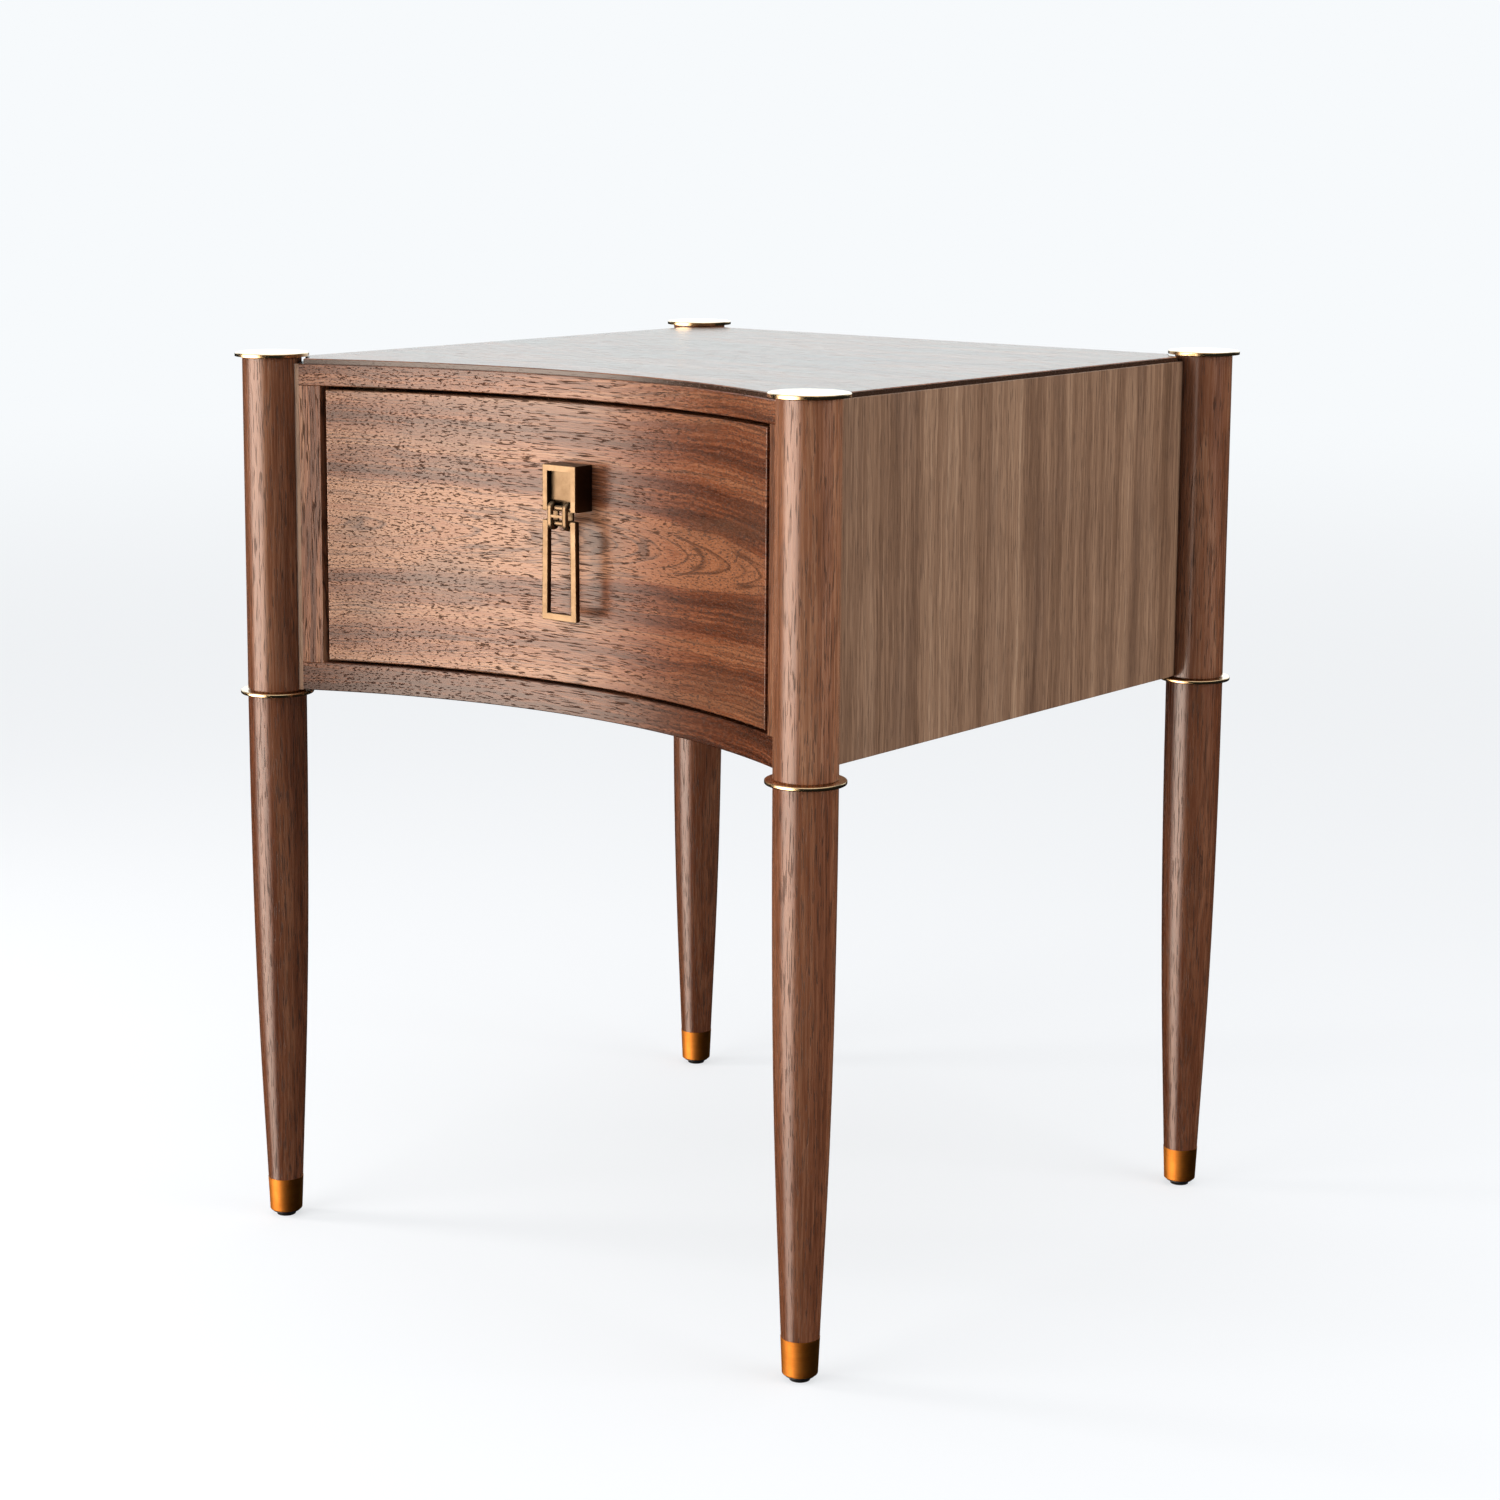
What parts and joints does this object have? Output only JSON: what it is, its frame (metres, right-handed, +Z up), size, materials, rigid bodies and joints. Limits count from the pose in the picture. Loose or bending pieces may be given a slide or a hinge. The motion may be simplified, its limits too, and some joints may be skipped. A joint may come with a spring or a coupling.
{
  "type": "side table with drawer",
  "caption": "Square side table with a concave drawer front, round corner posts capped with brass discs, tapered ferruled legs and a hanging ring pull.",
  "frame": {"origin": "on the floor, under the centre of the table's outline", "axes": "+Z up; -Y out of the drawer front; +X to the right of someone facing the front"},
  "size_m": [0.508, 0.508, 0.61],
  "materials": {
    "walnut_turned": "satin lacquered walnut, grain along the post",
    "walnut_drawer": "satin lacquered figured walnut, grain across, darker to the right",
    "walnut_front": "satin lacquered walnut, grain across",
    "walnut_stile": "satin lacquered walnut, grain upright",
    "walnut_panel": "satin lacquered straight-grained walnut, grain upright",
    "walnut_top": "semi-gloss lacquered walnut",
    "brass_disc": "polished brass",
    "brass_ferrule": "brushed coppery brass",
    "brass_pull": "satin antique brass",
    "black_glide": "moulded black nylon",
    "drawer_box_wood": "clear sealed maple",
    "plywood": "sealed birch plywood",
    "inner_wood": "planed poplar, unfinished",
    "zinc_steel": "zinc-plated pressed steel"
  },
  "bodies": {
    "case": {"back_panel": "walnut_panel", "bottom_panel": "plywood", "cabinet_rail_left": "zinc_steel", "cabinet_rail_right": "zinc_steel", "case_dowels": "inner_wood", "case_screws": "zinc_steel", "corner_blocks": "inner_wood", "ferrule_front_left": "brass_ferrule", "ferrule_front_right": "brass_ferrule", "ferrule_rear_left": "brass_ferrule", "ferrule_rear_right": "brass_ferrule", "front_rail_bottom": "walnut_front", "front_rail_top": "walnut_front", "front_stile_left": "walnut_stile", "front_stile_right": "walnut_stile", "glide_front_left": "black_glide", "glide_front_right": "black_glide", "glide_rear_left": "black_glide", "glide_rear_right": "black_glide", "hanger_bolts": "zinc_steel", "leg_front_left": "walnut_turned", "leg_front_right": "walnut_turned", "leg_rear_left": "walnut_turned", "leg_rear_right": "walnut_turned", "mid_washer_front_left": "brass_disc", "mid_washer_front_right": "brass_disc", "mid_washer_rear_left": "brass_disc", "mid_washer_rear_right": "brass_disc", "post_front_left": "walnut_turned", "post_front_right": "walnut_turned", "post_rear_left": "walnut_turned", "post_rear_right": "walnut_turned", "side_panel_left": "walnut_panel", "side_panel_right": "walnut_panel", "slide_packer_left": "inner_wood", "slide_packer_right": "inner_wood", "threaded_inserts": "zinc_steel", "top_disc_front_left": "brass_disc", "top_disc_front_right": "brass_disc", "top_disc_rear_left": "brass_disc", "top_disc_rear_right": "brass_disc", "top_panel": "walnut_top"},
    "drawer": {"drawer_front": "walnut_drawer", "drawer_side_left": "drawer_box_wood", "drawer_side_right": "drawer_box_wood", "drawer_back": "drawer_box_wood", "drawer_floor": "plywood", "drawer_rail_left": "zinc_steel", "drawer_rail_right": "zinc_steel", "drawer_screws": "zinc_steel", "pull_base": "brass_pull", "pull_screws": "zinc_steel"},
    "middle_rails": {"middle_rail_left": "zinc_steel", "middle_rail_right": "zinc_steel"},
    "outer_cages": {"outer_ball_cage_left": "zinc_steel", "outer_ball_cage_right": "zinc_steel"},
    "inner_cages": {"inner_ball_cage_left": "zinc_steel", "inner_ball_cage_right": "zinc_steel"},
    "pull_links": {"pull_links": "brass_pull"},
    "pull_ring": {"pull_ring": "brass_pull"}
  },
  "joints": [
    {"name": "drawer_slide", "type": "slide", "parent": "case", "child": "drawer", "axis": [0, -1, 0], "range_m": [0, 0.3]},
    {"name": "middle_rail_slide", "type": "slide", "parent": "case", "child": "middle_rails", "axis": [0, -1, 0], "range_m": [0, 0.15]},
    {"name": "outer_cage_slide", "type": "slide", "parent": "case", "child": "outer_cages", "axis": [0, -1, 0], "range_m": [0, 0.075]},
    {"name": "inner_cage_slide", "type": "slide", "parent": "case", "child": "inner_cages", "axis": [0, -1, 0], "range_m": [0, 0.225]},
    {"name": "pull_link_swing", "type": "hinge", "parent": "drawer", "child": "pull_links", "pos_m": [0, -0.192, 0.5187], "axis": [-1, 0, 0], "range_deg": [-3, 75]},
    {"name": "pull_ring_swing", "type": "hinge", "parent": "pull_links", "child": "pull_ring", "pos_m": [0, -0.192, 0.5088], "axis": [-1, 0, 0], "range_deg": [-3, 45]}
  ],
  "couplings": [
    {"joint": "middle_rail_slide", "follows": "drawer_slide", "ratio": 0.5},
    {"joint": "outer_cage_slide", "follows": "drawer_slide", "ratio": 0.25},
    {"joint": "inner_cage_slide", "follows": "drawer_slide", "ratio": 0.75}
  ]
}
